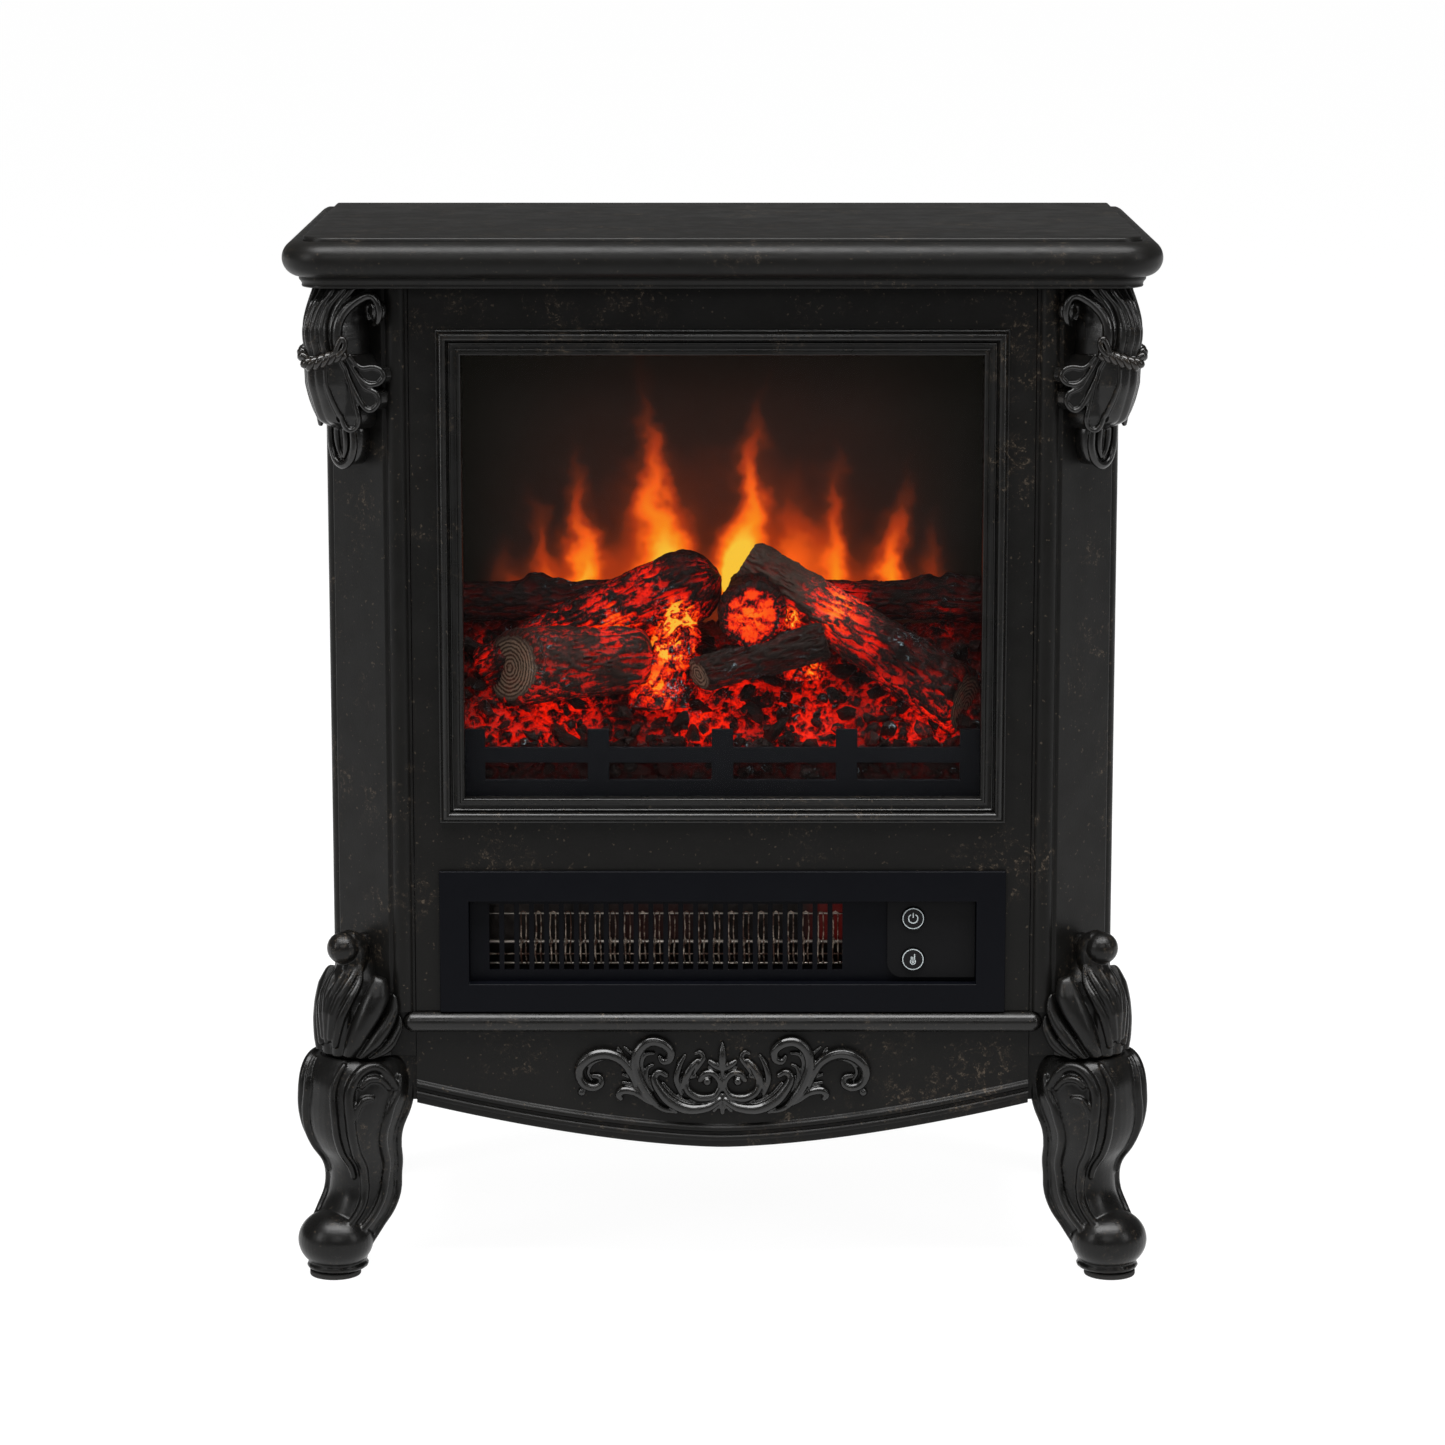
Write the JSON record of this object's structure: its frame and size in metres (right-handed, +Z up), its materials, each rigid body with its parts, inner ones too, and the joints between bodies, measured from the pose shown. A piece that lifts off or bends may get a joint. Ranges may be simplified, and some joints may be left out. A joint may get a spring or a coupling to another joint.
{
  "type": "electric stove fireplace",
  "caption": "Free-standing electric stove fireplace with a glazed flame display, carved corner brackets, cabriole legs and a fan heater outlet under the window.",
  "frame": {"origin": "on the floor under the centre of the mantel's outline", "axes": "+Z up, the glazed front faces -Y, +X to the right of someone looking at the front"},
  "size_m": [0.5, 0.268, 0.61],
  "materials": {
    "antique_metal": "satin antique black with fine rubbed tan flecks",
    "antique_board": "fibreboard painted satin antique black with fine rubbed tan flecks",
    "antique_casting": "resin casting painted satin antique black with fine rubbed tan flecks",
    "heater_plastic": "smooth satin moulded plastic",
    "button_plastic": "satin, with a pale printed ring and symbol",
    "window_glass": "clear, slightly grey",
    "firebox_black": "matt black",
    "zinc_steel": "zinc-plated sheet",
    "motor_metal": "laminated steel and plated brackets",
    "reflector_foil": "bright foil",
    "log_resin": "moulded bark, painted brown with ash grey",
    "ember_resin": "translucent moulded embers, lit from below",
    "screen_acrylic": "smoked diffusing acrylic",
    "heating_wire": "resistance wire and support rails",
    "circuit_board": "solder-resist green",
    "black_plastic": "moulded",
    "felt_pad": "matt"
  },
  "bodies": {
    "cabinet": {"mantel_top": "antique_board", "cornice_trim": "antique_board", "cabinet_top": "zinc_steel", "front_panel": "antique_metal", "corner_post_left": "antique_metal", "corner_post_right": "antique_metal", "side_panel_left": "antique_metal", "side_panel_right": "antique_metal", "back_panel": "antique_metal", "base_plate": "zinc_steel", "inner_shelf": "zinc_steel", "window_bezel": "antique_metal", "window_glass": "window_glass", "glass_clips": "zinc_steel", "fender_grate": "firebox_black", "firebox_liner": "firebox_black", "ember_bed": "ember_resin", "log_rear_left": "log_resin", "log_rear_right": "log_resin", "log_front_left": "log_resin", "log_centre": "log_resin", "log_leaning_left": "log_resin", "log_leaning_right": "log_resin", "log_low": "log_resin", "flame_screen": "screen_acrylic", "flame_mask": "zinc_steel", "rotor_motor": "motor_metal", "rotor_bush": "black_plastic", "flame_led_board": "circuit_board", "ember_led_board": "circuit_board", "heater_surround": "heater_plastic", "heater_grille": "heater_plastic", "control_panel": "heater_plastic", "button_board": "circuit_board", "heating_element": "heating_wire", "element_frame": "zinc_steel", "blower_housing": "black_plastic", "blower_motor": "motor_metal", "thermal_cutout": "black_plastic", "control_board": "circuit_board", "tilt_switch": "black_plastic", "sill_rail": "antique_metal", "apron": "antique_metal", "apron_ornament": "antique_casting", "corbel_left": "antique_casting", "corbel_right": "antique_casting", "leaf_left": "antique_casting", "leaf_right": "antique_casting", "leg_front_left": "antique_casting", "leg_front_right": "antique_casting", "leg_rear_left": "antique_casting", "leg_rear_right": "antique_casting", "foot_pads": "felt_pad", "leg_bolts": "zinc_steel", "back_screws": "zinc_steel", "cord_gland": "black_plastic"},
    "flame_rotor": {"flame_rotor": "reflector_foil"},
    "blower_wheel": {"blower_wheel": "black_plastic"},
    "power_button": {"power_button": "button_plastic"},
    "heat_button": {"heat_button": "button_plastic"}
  },
  "joints": [
    {"name": "flame_rotor_spin", "type": "hinge", "parent": "cabinet", "child": "flame_rotor", "pos_m": [0, 0.022, 0.32], "axis": [1, 0, 0], "continuous": true},
    {"name": "blower_spin", "type": "hinge", "parent": "cabinet", "child": "blower_wheel", "pos_m": [0, -0.018, 0.199], "axis": [1, 0, 0], "continuous": true},
    {"name": "power_button_press", "type": "slide", "parent": "cabinet", "child": "power_button", "axis": [0, 1, 0], "range_m": [0, 0.001], "stiffness_N_per_m": 2000, "springref_m": -0.0005},
    {"name": "heat_button_press", "type": "slide", "parent": "cabinet", "child": "heat_button", "axis": [0, 1, 0], "range_m": [0, 0.001], "stiffness_N_per_m": 2000, "springref_m": -0.0005}
  ]
}
